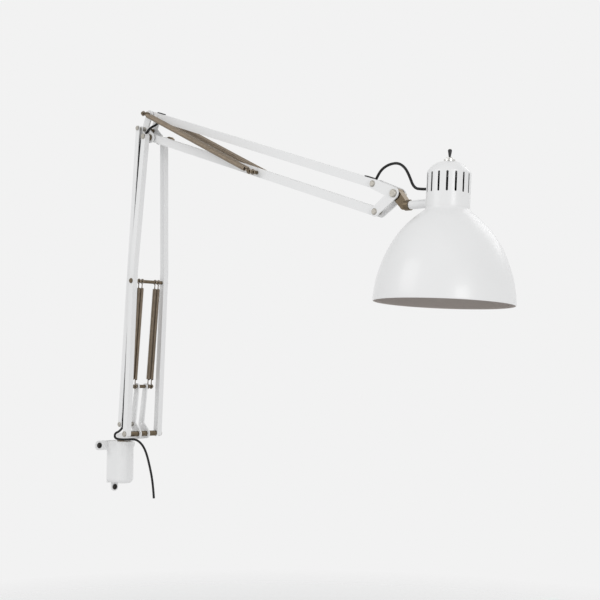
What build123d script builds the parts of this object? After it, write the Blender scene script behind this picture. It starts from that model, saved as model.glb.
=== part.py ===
from build123d import *
import math
import os

os.makedirs("parts", exist_ok=True)

# ---------------------------------------------------------------- driving sizes (mm)
# Frame: X = 0 is the wall, +X points into the room, +Z is up, the arm plane is XZ.

# wall bracket
plate_t = 2.0
plate_half_y = 14.0
plate_top_z = 26.0
plate_bottom_z = -36.0
ear_hole_y = 29.0
ear_hole_z = 19.0
ear_r = 7.0
tab_hole_z = -43.0
tab_r = 6.0
screw_hole_r = 2.2
housing_wall = 1.8
housing_top_t = 3.0
housing_edge_r = 7.0
swivel_x = 23.0
boss_wall = 3.0
boss_bottom_z = -18.0

# swivel stem
stem_r = 6.0
swivel_gap = 0.05
thread_r = 4.0
nut_h = 6.5
nut_flat = 6.5
stem_below = 13.0
washer_t = 1.6
washer_w = 4.0

# base yoke
yoke_t = 2.0
yoke_half_gap = 6.5
main_pivot_x = 66.0
main_pivot_z = 38.0
link_step_x = -12.5
link_step_z = 13.5
post_step_x = -4.0
post_step_z = 68.0
main_eye_r = 7.0
link_eye_r = 5.5
post_eye_r = 4.6
yoke_back_x = 15.0
yoke_foot_len = 17.0

# arms
lower_length = 430.0
lower_lean = 2.7
upper_length = 455.0
upper_drop = 19.0
knee_step_x = -3.0
knee_step_z = 34.0
bar_width = 9.0
bar_depth_y = 8.0
bar_wall = 1.2
bar_base_y = 28.0
bar_knee_y = 17.0
bar_bend_at = 235.0
rod_at = 220.0
link_width = 8.0
link_depth_y = 7.0
link_wall = 1.0
link_base_y = 28.3
link_knee_y = 18.6
upper_width = 11.0
upper_depth_y = 10.0
upper_wall = 1.2
upper_spring_at = 236.0
bar_end_over = 5.0

# knee
knee_t = 2.0
knee_half_gap = 7.0
knee_main_r = 8.0
knee_link_r = 6.5
knee_top_r = 6.5
knob_r = 6.2
knob_len = 9.0

# pins
pin_r = 2.5
link_pin_r = 2.0
pin_gap = 0.06
rivet_r = 4.0
rivet_h = 1.6
spacer_r = 3.85
seat_gap = 0.2
knee_seat = 0.6
side_gap = 0.3

# springs
lower_spring_r = 3.0
lower_spring_y1 = 11.7
lower_spring_y2 = 17.9
lower_curls = 6
upper_spring_r = 3.2
upper_spring_y1 = 12.8
upper_spring_y2 = 19.5
upper_curls = 9
wire_r = 0.8
groove_depth = 0.5
spring_hook_gap = 0.3

# head fork and knuckle
fork_t = 1.8
fork_half_gap = 5.6
fork_step_x = 33.0
fork_step_z = -15.0
fork_eye_r = 6.0
fork_nose_r = 7.0
knuckle_r = 6.4
tilt_pin_r = 2.5
tilt_nut_r = 5.5

# head
head_reach = 75.0
head_lean = 1.4
head_roll = 2.1
stub_r = 5.2
stub_start = 20.0
knuckle_drop = 15.0
knuckle_fwd = 13.0
cap_r = 25.3
cap_wall = 1.0
cap_side_top = 33.0
cap_bottom = -11.0
cap_dome_h = 13.0
slot_count = 16
slot_w = 2.5
slot_low = 8.5
slot_high = 31.5
mouth_r = 81.0
rim_z = -117.0
shade_wall = 1.0
rim_bead_r = 1.6
holder_r = 19.0
holder_low = -32.0
bulb_r = 30.0
bulb_neck_r = 12.5
bulb_drop = 62.0
bulb_glass = 1.0
collar_r = 4.6
collar_h = 4.5
lever_r = 2.4
lever_h = 10.0
lever_pivot_r = 3.2

# cord
cord_r = 1.65


# ---------------------------------------------------------------- places worked out
def step(point, direction, distance):
    return (point[0] + direction[0] * distance, point[1] + direction[1] * distance)


lean = math.radians(lower_lean)
drop = math.radians(upper_drop)
arm_dir = (math.sin(lean), math.cos(lean))
arm_out = (math.cos(lean), -math.sin(lean))
fore_dir = (math.cos(drop), -math.sin(drop))
fore_up = (math.sin(drop), math.cos(drop))

P2 = (main_pivot_x, main_pivot_z)
P1 = (P2[0] + link_step_x, P2[1] + link_step_z)
B = (P2[0] + post_step_x, P2[1] + post_step_z)
K2 = step(P2, arm_dir, lower_length)
K1 = (K2[0] + link_step_x, K2[1] + link_step_z)
T = (K2[0] + knee_step_x, K2[1] + knee_step_z)
ROD = step(P2, arm_dir, rod_at)
HL = step(K2, fore_dir, upper_length)
HT = step(T, fore_dir, upper_length)
S2 = step(K2, fore_dir, upper_spring_at)
H3 = (HT[0] + fork_step_x, HT[1] + fork_step_z)

# planes: local x to the rear, local y along the bar, normal away from the wall
arm_face = Plane(origin=(P2[0], 0, P2[1]), x_dir=(0, 1, 0), z_dir=(arm_out[0], 0, arm_out[1]))
link_face = Plane(origin=(P1[0], 0, P1[1]), x_dir=(0, 1, 0), z_dir=(arm_out[0], 0, arm_out[1]))
# local x across the bar, local y along it, normal to the front
arm_side = Plane(origin=(P2[0], 0, P2[1]), x_dir=(arm_out[0], 0, arm_out[1]), z_dir=(0, -1, 0))
link_side = Plane(origin=(P1[0], 0, P1[1]), x_dir=(arm_out[0], 0, arm_out[1]), z_dir=(0, -1, 0))
# local x along the upper arm, local y up across it, normal to the front
fore_side = Plane(origin=(K2[0], 0, K2[1]), x_dir=(fore_dir[0], 0, fore_dir[1]), z_dir=(0, -1, 0))
top_side = Plane(origin=(T[0], 0, T[1]), x_dir=(fore_dir[0], 0, fore_dir[1]), z_dir=(0, -1, 0))


def front(y):
    """Plane with local (x, z) coordinates, its normal to the front, standing at this y."""
    return Plane(origin=(0, y, 0), x_dir=(1, 0, 0), z_dir=(0, -1, 0))


def pin_plane(point, y):
    """Plane at a pivot with its normal to the rear."""
    return Plane(origin=(point[0], y, point[1]), x_dir=(1, 0, 0), z_dir=(0, 1, 0))


def lathe_plane(point):
    """Plane whose local y axis runs to the rear along the pivot at this point."""
    return Plane(origin=(point[0], 0, point[1]), x_dir=(1, 0, 0), z_dir=(0, 0, 1))


def eyes(p, p_r, q, q_r):
    """Outline round two eyes of a flat link, joined by their outer tangents."""
    way = Vector(q[0] - p[0], q[1] - p[1])
    unit = way.normalized()
    tilt = math.degrees(math.acos((p_r - q_r) / way.length))
    side_a = unit.rotate(Axis.Z, tilt)
    side_b = unit.rotate(Axis.Z, -tilt)
    pv, qv = Vector(*p), Vector(*q)
    Line(pv + side_a * p_r, qv + side_a * q_r)
    ThreePointArc(qv + side_a * q_r, qv + unit * q_r, qv + side_b * q_r)
    Line(qv + side_b * q_r, pv + side_b * p_r)
    ThreePointArc(pv + side_b * p_r, pv - unit * p_r, pv + side_a * p_r)


# ================================================================ wall bracket
with BuildPart() as wall_plate:
    with BuildSketch(Plane.YZ):
        with Locations((0, (plate_top_z + plate_bottom_z) / 2)):
            Rectangle(2 * plate_half_y, plate_top_z - plate_bottom_z)
        with Locations((0, ear_hole_z)):
            SlotCenterToCenter(2 * ear_hole_y, 2 * ear_r)
        with Locations((0, (plate_bottom_z + tab_hole_z) / 2)):
            Rectangle(2 * tab_r, plate_bottom_z - tab_hole_z)
        with Locations((0, tab_hole_z)):
            Circle(tab_r)
        with Locations((-ear_hole_y, ear_hole_z), (ear_hole_y, ear_hole_z), (0, tab_hole_z)):
            Circle(screw_hole_r, mode=Mode.SUBTRACT)
    extrude(amount=plate_t)
wall_plate.part.label = "wall_plate"
export_step(wall_plate.part, "parts/wall_plate.step")

housing_low_z = plate_bottom_z
housing_top_z = plate_top_z - 1.0
with BuildPart() as wall_housing:
    with BuildSketch(Plane.XY.offset(housing_low_z)):
        with Locations(((plate_t + swivel_x) / 2, 0)):
            Rectangle(swivel_x - plate_t, 2 * plate_half_y)
        with Locations((swivel_x, 0)):
            Circle(plate_half_y)
    extrude(amount=housing_top_z - housing_low_z)
    fillet(
        wall_housing.edges().group_by(Axis.Z)[0].filter_by(lambda e: e.center().X > plate_t + 0.5),
        housing_edge_r,
    )
    inner_r = plate_half_y - housing_wall
    with BuildSketch(Plane.XY.offset(housing_low_z + housing_edge_r)):
        with Locations(((plate_t + swivel_x) / 2, 0)):
            Rectangle(swivel_x - plate_t, 2 * inner_r)
        with Locations((swivel_x, 0)):
            Circle(inner_r)
    extrude(amount=housing_top_z - housing_top_t - housing_low_z - housing_edge_r, mode=Mode.SUBTRACT)
    with BuildSketch(Plane.XY.offset(housing_low_z + housing_wall)):
        with Locations(((plate_t + swivel_x) / 2, 0)):
            Rectangle(swivel_x - plate_t, 2 * (inner_r - housing_edge_r + housing_wall))
        with Locations((swivel_x, 0)):
            Circle(inner_r - housing_edge_r + housing_wall)
    extrude(amount=housing_edge_r - housing_wall + 0.5, mode=Mode.SUBTRACT)
    with BuildSketch(Plane.XY.offset(boss_bottom_z)):
        with Locations((swivel_x, 0)):
            Circle(stem_r + boss_wall)
    extrude(amount=housing_top_z - boss_bottom_z - 1)
    with BuildSketch(Plane.XY.offset(boss_bottom_z - 1)):
        with Locations((swivel_x, 0)):
            Circle(stem_r + swivel_gap)
    extrude(amount=housing_top_z - boss_bottom_z + 2, mode=Mode.SUBTRACT)
wall_housing.part.label = "wall_housing"
export_step(wall_housing.part, "parts/wall_housing.step")

# ================================================================ base yoke
washer_z = housing_top_z
yoke_z = washer_z + washer_t

with BuildPart() as swivel_washer:
    with BuildSketch(Plane.XY.offset(washer_z)):
        with Locations((swivel_x, 0)):
            Circle(stem_r + washer_w)
            Circle(stem_r + side_gap, mode=Mode.SUBTRACT)
    extrude(amount=washer_t)
swivel_washer.part.label = "swivel_washer"
export_step(swivel_washer.part, "parts/swivel_washer.step")

with BuildPart() as swivel_stem:
    with BuildSketch(Plane.XY.offset(boss_bottom_z - 0.3)):
        with Locations((swivel_x, 0)):
            Circle(stem_r)
    extrude(amount=yoke_z - boss_bottom_z + 0.3)
    with BuildSketch(Plane.XY.offset(boss_bottom_z - stem_below)):
        with Locations((swivel_x, 0)):
            Circle(thread_r)
    extrude(amount=stem_below)
swivel_stem.part.label = "swivel_stem"
export_step(swivel_stem.part, "parts/swivel_stem.step")

with BuildPart() as swivel_nut:
    with BuildSketch(Plane.XY.offset(boss_bottom_z - 0.3 - nut_h)):
        with Locations((swivel_x, 0)):
            RegularPolygon(nut_flat, 6, major_radius=False)
            Circle(thread_r, mode=Mode.SUBTRACT)
    extrude(amount=nut_h)
swivel_nut.part.label = "swivel_nut"
export_step(swivel_nut.part, "parts/swivel_nut.step")

# the folded yoke: a foot on the stem and two cranked cheeks that end in the spring post
cheek_foot_r = 5.0
foot_eye = (yoke_back_x + cheek_foot_r, yoke_z + cheek_foot_r)
with BuildPart() as base_yoke:
    for one, one_r, two, two_r in (
        (foot_eye, cheek_foot_r, P2, main_eye_r),
        (P2, main_eye_r, P1, link_eye_r),
        (P1, link_eye_r, B, post_eye_r),
    ):
        with BuildSketch(front(yoke_half_gap + yoke_t)):
            with BuildLine():
                eyes(one, one_r, two, two_r)
            make_face()
        extrude(amount=2 * (yoke_half_gap + yoke_t))
    with BuildSketch(front(yoke_half_gap)):
        Rectangle(400, 400)
    extrude(amount=2 * yoke_half_gap, mode=Mode.SUBTRACT)
    with BuildSketch(Plane.XY.offset(yoke_z)):
        with Locations((swivel_x, 0)):
            Circle(yoke_half_gap + yoke_t)
        with Locations((swivel_x + yoke_foot_len / 2, 0)):
            Rectangle(yoke_foot_len, 2 * (yoke_half_gap + yoke_t))
    extrude(amount=yoke_t)
    for pivot, hole in ((P2, pin_r), (P1, link_pin_r), (B, pin_r)):
        with BuildSketch(pin_plane(pivot, -yoke_half_gap - yoke_t - 1)):
            Circle(hole)
        extrude(amount=2 * (yoke_half_gap + yoke_t + 1), mode=Mode.SUBTRACT)
base_yoke.part.label = "base_yoke"
export_step(base_yoke.part, "parts/base_yoke.step")

# main pin: one straight bolt through both bars and the yoke, head in front, nut behind
bar_out_y = bar_base_y + bar_depth_y / 2
bar_in_y = bar_base_y - bar_depth_y / 2
cheek_out_y = yoke_half_gap + yoke_t
with BuildPart() as base_pin:
    with BuildSketch(lathe_plane(P2)):
        with BuildLine():
            Polyline(
                (0, -bar_out_y - seat_gap - rivet_h - 0.6),
                (rivet_r - 1.2, -bar_out_y - seat_gap - rivet_h - 0.6),
                (rivet_r, -bar_out_y - seat_gap - rivet_h + 0.6),
                (rivet_r, -bar_out_y - seat_gap),
                (pin_r, -bar_out_y - seat_gap),
                (pin_r, bar_out_y + seat_gap),
                (rivet_r, bar_out_y + seat_gap),
                (rivet_r, bar_out_y + seat_gap + rivet_h - 0.6),
                (rivet_r - 1.2, bar_out_y + seat_gap + rivet_h),
                (0, bar_out_y + seat_gap + rivet_h),
                close=True,
            )
        make_face()
    revolve(axis=Axis((P2[0], 0, P2[1]), (0, 1, 0)))
base_pin.part.label = "base_pin"
export_step(base_pin.part, "parts/base_pin.step")

with BuildPart() as base_spacers:
    for y_at, y_end in (
        (-bar_in_y + seat_gap, -cheek_out_y),
        (-yoke_half_gap, yoke_half_gap),
        (cheek_out_y, bar_in_y - seat_gap),
    ):
        with BuildSketch(pin_plane(P2, y_at)):
            Circle(spacer_r)
            Circle(pin_r + side_gap, mode=Mode.SUBTRACT)
        extrude(amount=y_end - y_at)
base_spacers.part.label = "base_spacers"
export_step(base_spacers.part, "parts/base_spacers.step")


def shoulder_pin(point, shank, shoulder, y_list):
    """Outline of a pin with a shoulder: head, journal, shoulder, journal and closing rivet."""
    y_head, y_journal, y_shoulder, y_plate, y_rivet, y_end = y_list
    return [
        (0, y_head),
        (shoulder * 0.7, y_head),
        (shoulder, y_head + 0.8),
        (shoulder, y_journal),
        (shank, y_journal),
        (shank, y_shoulder),
        (shoulder, y_shoulder),
        (shoulder, y_plate),
        (shank, y_plate),
        (shank, y_rivet),
        (shoulder * 0.8, y_rivet),
        (shoulder * 0.8, y_end),
        (0, y_end),
    ]


link_out_y = link_base_y + link_depth_y / 2
link_in_y = link_base_y - link_depth_y / 2
with BuildPart() as link_pin:
    with BuildSketch(lathe_plane(P1)):
        with BuildLine():
            Polyline(
                *shoulder_pin(
                    P1,
                    link_pin_r,
                    3.2,
                    (
                        -link_out_y - knee_seat + 0.2 - rivet_h,
                        -link_out_y - knee_seat + 0.2,
                        -link_in_y + knee_seat - 0.2,
                        -cheek_out_y,
                        -yoke_half_gap,
                        -yoke_half_gap + 1.2,
                    ),
                ),
                close=True,
            )
        make_face()
    revolve(axis=Axis((P1[0], 0, P1[1]), (0, 1, 0)))
link_pin.part.label = "link_pin"
export_step(link_pin.part, "parts/link_pin.step")


def grooved_pin(half_length, groove_ys, groove_half):
    """Outline of a straight pin with a groove for each spring hook."""
    points = [(0, -half_length), (pin_r - 0.5, -half_length), (pin_r, -half_length + 0.5)]
    for y_at in sorted([-y for y in groove_ys] + list(groove_ys)):
        points.append((pin_r, y_at - groove_half))
        points.append((pin_r - groove_depth, y_at - groove_half + groove_depth))
        points.append((pin_r - groove_depth, y_at + groove_half - groove_depth))
        points.append((pin_r, y_at + groove_half))
    points += [(pin_r, half_length - 0.5), (pin_r - 0.5, half_length), (0, half_length)]
    return points


groove_half = wire_r + 0.9
post_pin_half = lower_spring_y2 + groove_half + 1.2
with BuildPart() as spring_post_pin:
    with BuildSketch(lathe_plane(B)):
        with BuildLine():
            Polyline(
                *grooved_pin(post_pin_half, (lower_spring_y1, lower_spring_y2), groove_half),
                close=True,
            )
        make_face()
    revolve(axis=Axis((B[0], 0, B[1]), (0, 1, 0)))
spring_post_pin.part.label = "spring_post_pin"
export_step(spring_post_pin.part, "parts/spring_post_pin.step")

# ================================================================ lower arm


def lower_bar_outline(half):
    """Front view of the bent bar: straight from the base past the spring rod, then in to the knee."""
    ends = bar_width / 2
    return [
        (-bar_base_y - half, -ends),
        (-bar_base_y - half, bar_bend_at),
        (-bar_knee_y - half, lower_length + ends),
        (-bar_knee_y + half, lower_length + ends),
        (-bar_base_y + half, bar_bend_at),
        (-bar_base_y + half, -ends),
    ]


with BuildPart() as lower_bar_front:
    with BuildSketch(arm_face):
        with BuildLine():
            Polyline(*lower_bar_outline(bar_depth_y / 2), close=True)
        make_face()
    extrude(amount=bar_width / 2, both=True)
    with BuildSketch(arm_side):
        with Locations((0, lower_length / 2)):
            SlotCenterToCenter(lower_length, bar_width, rotation=90)
    extrude(amount=2 * bar_out_y, both=True, mode=Mode.INTERSECT)
    channel_base = bar_width / 2 - bar_wall
    with BuildSketch(arm_face.offset(channel_base)):
        with BuildLine():
            Polyline(*lower_bar_outline(bar_depth_y / 2 - bar_wall), close=True)
        make_face()
    extrude(amount=-2 * bar_width, mode=Mode.SUBTRACT)
    with BuildSketch(arm_side):
        Circle(pin_r + pin_gap)
        with Locations((0, lower_length)):
            Circle(pin_r + pin_gap)
        with Locations((0, rod_at)):
            Circle(pin_r)
    extrude(amount=2 * bar_out_y, both=True, mode=Mode.SUBTRACT)
lower_bar_front.part.label = "lower_bar_front"
export_step(lower_bar_front.part, "parts/lower_bar_front.step")

with BuildPart() as lower_bar_rear:
    mirror(lower_bar_front.part, about=Plane.XZ)
lower_bar_rear.part.label = "lower_bar_rear"
export_step(lower_bar_rear.part, "parts/lower_bar_rear.step")

with BuildPart() as spring_rod:
    with BuildSketch(lathe_plane(ROD)):
        with BuildLine():
            rod_points = grooved_pin(bar_out_y, (lower_spring_y1, lower_spring_y2), groove_half)
            rod_end = bar_out_y + rivet_h
            Polyline(
                (0, -rod_end),
                (rivet_r - 1.0, -rod_end),
                (rivet_r - 0.4, -rod_end + 0.8),
                (rivet_r - 0.4, -bar_out_y),
                (pin_r, -bar_out_y),
                *rod_points[3:-3],
                (pin_r, bar_out_y),
                (rivet_r - 0.4, bar_out_y),
                (rivet_r - 0.4, rod_end - 0.8),
                (rivet_r - 1.0, rod_end),
                (0, rod_end),
                close=True,
            )
        make_face()
    revolve(axis=Axis((ROD[0], 0, ROD[1]), (0, 1, 0)))
spring_rod.part.label = "spring_rod"
export_step(spring_rod.part, "parts/spring_rod.step")

# ================================================================ lower link


def link_outline(half):
    ends = link_width / 2
    slope = (link_base_y - link_knee_y) / lower_length
    return [
        (-link_base_y - half - slope * ends, -ends),
        (-link_knee_y - half + slope * ends, lower_length + ends),
        (-link_knee_y + half + slope * ends, lower_length + ends),
        (-link_base_y + half - slope * ends, -ends),
    ]


with BuildPart() as link_bar:
    with BuildSketch(link_face):
        with BuildLine():
            Polyline(*link_outline(link_depth_y / 2), close=True)
        make_face()
    extrude(amount=link_width / 2, both=True)
    with BuildSketch(link_side):
        with Locations((0, lower_length / 2)):
            SlotCenterToCenter(lower_length, link_width, rotation=90)
    extrude(amount=2 * bar_out_y, both=True, mode=Mode.INTERSECT)
    with BuildSketch(link_face.offset(-link_width / 2 + link_wall)):
        with BuildLine():
            Polyline(*link_outline(link_depth_y / 2 - link_wall), close=True)
        make_face()
    extrude(amount=2 * link_width, mode=Mode.SUBTRACT)
    with BuildSketch(link_side):
        Circle(link_pin_r + pin_gap)
        with Locations((0, lower_length)):
            Circle(link_pin_r + pin_gap + 0.04)
    extrude(amount=2 * bar_out_y, both=True, mode=Mode.SUBTRACT)
link_bar.part.label = "link_bar"
export_step(link_bar.part, "parts/link_bar.step")

# ================================================================ knee
knee_out_y = knee_half_gap + knee_t
with BuildPart() as knee_plate_front:
    with BuildSketch(front(-knee_half_gap)):
        with BuildLine():
            eyes(K2, knee_main_r, K1, knee_link_r)
        make_face()
        with BuildLine():
            eyes(K1, knee_link_r, T, knee_top_r)
        make_face()
        with Locations(K2, T):
            Circle(pin_r, mode=Mode.SUBTRACT)
        with Locations(K1):
            Circle(link_pin_r, mode=Mode.SUBTRACT)
    extrude(amount=knee_t)
knee_plate_front.part.label = "knee_plate_front"
export_step(knee_plate_front.part, "parts/knee_plate_front.step")

with BuildPart() as knee_plate_rear:
    with BuildSketch(front(knee_half_gap + knee_t)):
        with BuildLine():
            eyes(K2, knee_main_r, K1, knee_link_r)
        make_face()
        with BuildLine():
            eyes(K1, knee_link_r, T, knee_top_r)
        make_face()
        with Locations(K2, T):
            Circle(pin_r, mode=Mode.SUBTRACT)
        with Locations(K1):
            Circle(link_pin_r, mode=Mode.SUBTRACT)
    extrude(amount=knee_t)
knee_plate_rear.part.label = "knee_plate_rear"
export_step(knee_plate_rear.part, "parts/knee_plate_rear.step")

knee_bar_out = bar_knee_y + bar_depth_y / 2
knee_bar_in = bar_knee_y - bar_depth_y / 2
knob_y = knee_bar_out + 3.2
with BuildPart() as knee_pin:
    with BuildSketch(lathe_plane(K2)):
        with BuildLine():
            Polyline(
                (0, -knee_bar_out - knee_seat - rivet_h - 0.4),
                (rivet_r - 1.2, -knee_bar_out - knee_seat - rivet_h - 0.4),
                (rivet_r, -knee_bar_out - knee_seat - rivet_h + 0.6),
                (rivet_r, -knee_bar_out - knee_seat),
                (pin_r, -knee_bar_out - knee_seat),
                (pin_r, knob_y + knob_len - 1.5),
                (0, knob_y + knob_len - 1.5),
                close=True,
            )
        make_face()
    revolve(axis=Axis((K2[0], 0, K2[1]), (0, 1, 0)))
knee_pin.part.label = "knee_pin"
export_step(knee_pin.part, "parts/knee_pin.step")

# collars that hold the bars away from the plates
with BuildPart() as knee_spacers:
    for y_at, y_end in (
        (-knee_bar_in + knee_seat, -knee_out_y),
        (knee_out_y, knee_bar_in - knee_seat),
        (knee_bar_out + knee_seat, knob_y),
    ):
        with BuildSketch(pin_plane(K2, y_at)):
            Circle(spacer_r + 0.8)
            Circle(pin_r, mode=Mode.SUBTRACT)
        extrude(amount=y_end - y_at)
knee_spacers.part.label = "knee_spacers"
export_step(knee_spacers.part, "parts/knee_spacers.step")

with BuildPart() as knee_knob:
    with BuildSketch(pin_plane(K2, knob_y)):
        Circle(knob_r)
        with PolarLocations(knob_r + 0.5, 12):
            Circle(1.1, mode=Mode.SUBTRACT)
    extrude(amount=knob_len)
    chamfer(knee_knob.edges().group_by(Axis.Y)[-1], 0.8)
    with BuildSketch(pin_plane(K2, knob_y)):
        Circle(pin_r)
    extrude(amount=knob_len - 1.5, mode=Mode.SUBTRACT)
knee_knob.part.label = "knee_knob"
export_step(knee_knob.part, "parts/knee_knob.step")

link_knee_out = link_knee_y + link_depth_y / 2
link_knee_in = link_knee_y - link_depth_y / 2
with BuildPart() as knee_link_pin:
    with BuildSketch(lathe_plane(K1)):
        with BuildLine():
            Polyline(
                *shoulder_pin(
                    K1,
                    link_pin_r,
                    3.2,
                    (
                        -link_knee_out - knee_seat - rivet_h,
                        -link_knee_out - knee_seat,
                        -link_knee_in + knee_seat,
                        -knee_out_y,
                        -knee_half_gap,
                        -knee_half_gap + 1.2,
                    ),
                ),
                close=True,
            )
        make_face()
    revolve(axis=Axis((K1[0], 0, K1[1]), (0, 1, 0)))
knee_link_pin.part.label = "knee_link_pin"
export_step(knee_link_pin.part, "parts/knee_link_pin.step")

# a short distance tube behind the link's eye keeps the two plates parallel
with BuildPart() as knee_stay:
    with BuildSketch(lathe_plane(K1)):
        with BuildLine():
            Polyline(
                (0, -knee_half_gap + 1.6),
                (3.0, -knee_half_gap + 1.6),
                (3.0, knee_half_gap),
                (link_pin_r, knee_half_gap),
                (link_pin_r, knee_out_y),
                (3.0, knee_out_y),
                (3.0, knee_out_y + 1.2),
                (0, knee_out_y + 1.2),
                close=True,
            )
        make_face()
    revolve(axis=Axis((K1[0], 0, K1[1]), (0, 1, 0)))
knee_stay.part.label = "knee_stay"
export_step(knee_stay.part, "parts/knee_stay.step")

top_pin_half = upper_spring_y2 + groove_half + 1.2
with BuildPart() as knee_top_pin:
    with BuildSketch(lathe_plane(T)):
        with BuildLine():
            Polyline(
                *grooved_pin(top_pin_half, (upper_spring_y1, upper_spring_y2), groove_half),
                close=True,
            )
        make_face()
    revolve(axis=Axis((T[0], 0, T[1]), (0, 1, 0)))
knee_top_pin.part.label = "knee_top_pin"
export_step(knee_top_pin.part, "parts/knee_top_pin.step")

# ================================================================ upper arm
with BuildPart() as upper_bar_low:
    with BuildSketch(fore_side):
        with Locations((upper_length / 2, 0)):
            SlotCenterToCenter(upper_length, upper_width)
    extrude(amount=upper_depth_y / 2, both=True)
    with BuildSketch(fore_side):
        with Locations((upper_length / 2, -upper_wall - upper_width / 2)):
            Rectangle(2 * upper_length, 2 * upper_width)
    extrude(amount=upper_depth_y / 2 - upper_wall, both=True, mode=Mode.SUBTRACT)
    with BuildSketch(fore_side):
        Circle(pin_r + pin_gap)
        with Locations((upper_length, 0)):
            Circle(pin_r + pin_gap)
        with Locations((upper_spring_at, 0)):
            Circle(pin_r)
    extrude(amount=upper_depth_y, both=True, mode=Mode.SUBTRACT)
upper_bar_low.part.label = "upper_bar_low"
export_step(upper_bar_low.part, "parts/upper_bar_low.step")

with BuildPart() as upper_spring_pin:
    with BuildSketch(lathe_plane(S2)):
        with BuildLine():
            Polyline(
                *grooved_pin(top_pin_half, (upper_spring_y1, upper_spring_y2), groove_half),
                close=True,
            )
        make_face()
    revolve(axis=Axis((S2[0], 0, S2[1]), (0, 1, 0)))
upper_spring_pin.part.label = "upper_spring_pin"
export_step(upper_spring_pin.part, "parts/upper_spring_pin.step")

# ================================================================ upper link
strip_in_start = 10.0
strip_in_len = 14.0
strip_out_start = upper_length - 20.0
strip_out_len = 18.0
strip_half_w = 2.3
strip_t = 1.3
with BuildPart() as upper_bar_top:
    with BuildSketch(top_side):
        with Locations((upper_length / 2, 0)):
            SlotCenterToCenter(upper_length, upper_width)
    extrude(amount=upper_depth_y / 2, both=True)
    with BuildSketch(top_side):
        with Locations((upper_length / 2, -upper_wall - upper_width / 2)):
            Rectangle(2 * upper_length, 2 * upper_width)
    extrude(amount=upper_depth_y / 2 - upper_wall, both=True, mode=Mode.SUBTRACT)
    with BuildSketch(top_side):
        Circle(pin_r + pin_gap)
        with Locations((upper_length, 0)):
            Circle(pin_r + pin_gap + 0.04)
    extrude(amount=upper_depth_y, both=True, mode=Mode.SUBTRACT)
upper_bar_top.part.label = "upper_bar_top"
export_step(upper_bar_top.part, "parts/upper_bar_top.step")

for name, start, length in (
    ("cord_strip_knee", strip_in_start, strip_in_len),
    ("cord_strip_head", strip_out_start, strip_out_len),
):
    with BuildPart() as cord_strip:
        with BuildSketch(top_side):
            with Locations((start + length / 2, upper_width / 2 + strip_t / 2)):
                Rectangle(length, strip_t)
        extrude(amount=strip_half_w, both=True)
        fillet(cord_strip.edges().filter_by(Axis.Y), 0.6)
    cord_strip.part.label = name
    export_step(cord_strip.part, "parts/" + name + ".step")

# ================================================================ head fork
for name, y_at in (
    ("fork_plate_front", -fork_half_gap),
    ("fork_plate_rear", fork_half_gap + fork_t),
):
    with BuildPart() as fork_plate:
        with BuildSketch(front(y_at)):
            with BuildLine():
                eyes(HT, fork_eye_r, H3, fork_nose_r)
            make_face()
            with BuildLine():
                eyes(HL, fork_eye_r, H3, fork_nose_r)
            make_face()
            with Locations(HT, HL):
                Circle(pin_r, mode=Mode.SUBTRACT)
            with Locations(H3):
                Circle(tilt_pin_r, mode=Mode.SUBTRACT)
        extrude(amount=fork_t)
    fork_plate.part.label = name
    export_step(fork_plate.part, "parts/" + name + ".step")

fork_out_y = fork_half_gap + fork_t
with BuildPart() as fork_rivets:
    for pivot in (HT, HL):
        with BuildSketch(lathe_plane(pivot)):
            with BuildLine():
                Polyline(
                    (0, -fork_out_y - rivet_h),
                    (rivet_r - 1.2, -fork_out_y - rivet_h),
                    (rivet_r, -fork_out_y - 0.5),
                    (rivet_r, -fork_out_y),
                    (pin_r, -fork_out_y),
                    (pin_r, fork_out_y),
                    (rivet_r, fork_out_y),
                    (rivet_r, fork_out_y + 0.5),
                    (rivet_r - 1.2, fork_out_y + rivet_h),
                    (0, fork_out_y + rivet_h),
                    close=True,
                )
            make_face()
        revolve(axis=Axis((pivot[0], 0, pivot[1]), (0, 1, 0)))
fork_rivets.part.label = "fork_rivets"
export_step(fork_rivets.part, "parts/fork_rivets.step")

with BuildPart() as tilt_bolt:
    with BuildSketch(lathe_plane(H3)):
        with BuildLine():
            Polyline(
                (0, -fork_out_y - 2.4),
                (rivet_r, -fork_out_y - 2.4),
                (rivet_r + 0.8, -fork_out_y - 1.6),
                (rivet_r + 0.8, -fork_out_y),
                (tilt_pin_r, -fork_out_y),
                (tilt_pin_r, fork_out_y + 5.0),
                (0, fork_out_y + 5.0),
                close=True,
            )
        make_face()
    revolve(axis=Axis((H3[0], 0, H3[1]), (0, 1, 0)))
tilt_bolt.part.label = "tilt_bolt"
export_step(tilt_bolt.part, "parts/tilt_bolt.step")

with BuildPart() as tilt_nut:
    with BuildSketch(pin_plane(H3, fork_out_y)):
        RegularPolygon(tilt_nut_r, 6)
        Circle(tilt_pin_r, mode=Mode.SUBTRACT)
    extrude(amount=4.0)
tilt_nut.part.label = "tilt_nut"
export_step(tilt_nut.part, "parts/tilt_nut.step")

# ================================================================ head
# the head's own frame: origin on the cap's axis level with the stub, a little off upright
head_base = Plane.XY.rotated((-head_roll, head_lean, 0))
out_dir = head_base.x_dir
up_dir = head_base.z_dir
side_dir = out_dir.cross(up_dir)
H3v = Vector(H3[0], 0, H3[1])
stub_origin = H3v + Vector(knuckle_fwd, 0, -knuckle_drop)
head_origin = stub_origin + out_dir * (head_reach - knuckle_fwd)
head_xy = Plane(origin=head_origin, x_dir=out_dir, z_dir=up_dir)
# profiles are drawn radius across, height up
head_profile = Plane(origin=head_origin, x_dir=out_dir, z_dir=side_dir)
head_axis = Axis(head_origin, up_dir)
stub_plane = Plane(origin=stub_origin, x_dir=up_dir, z_dir=out_dir)

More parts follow.
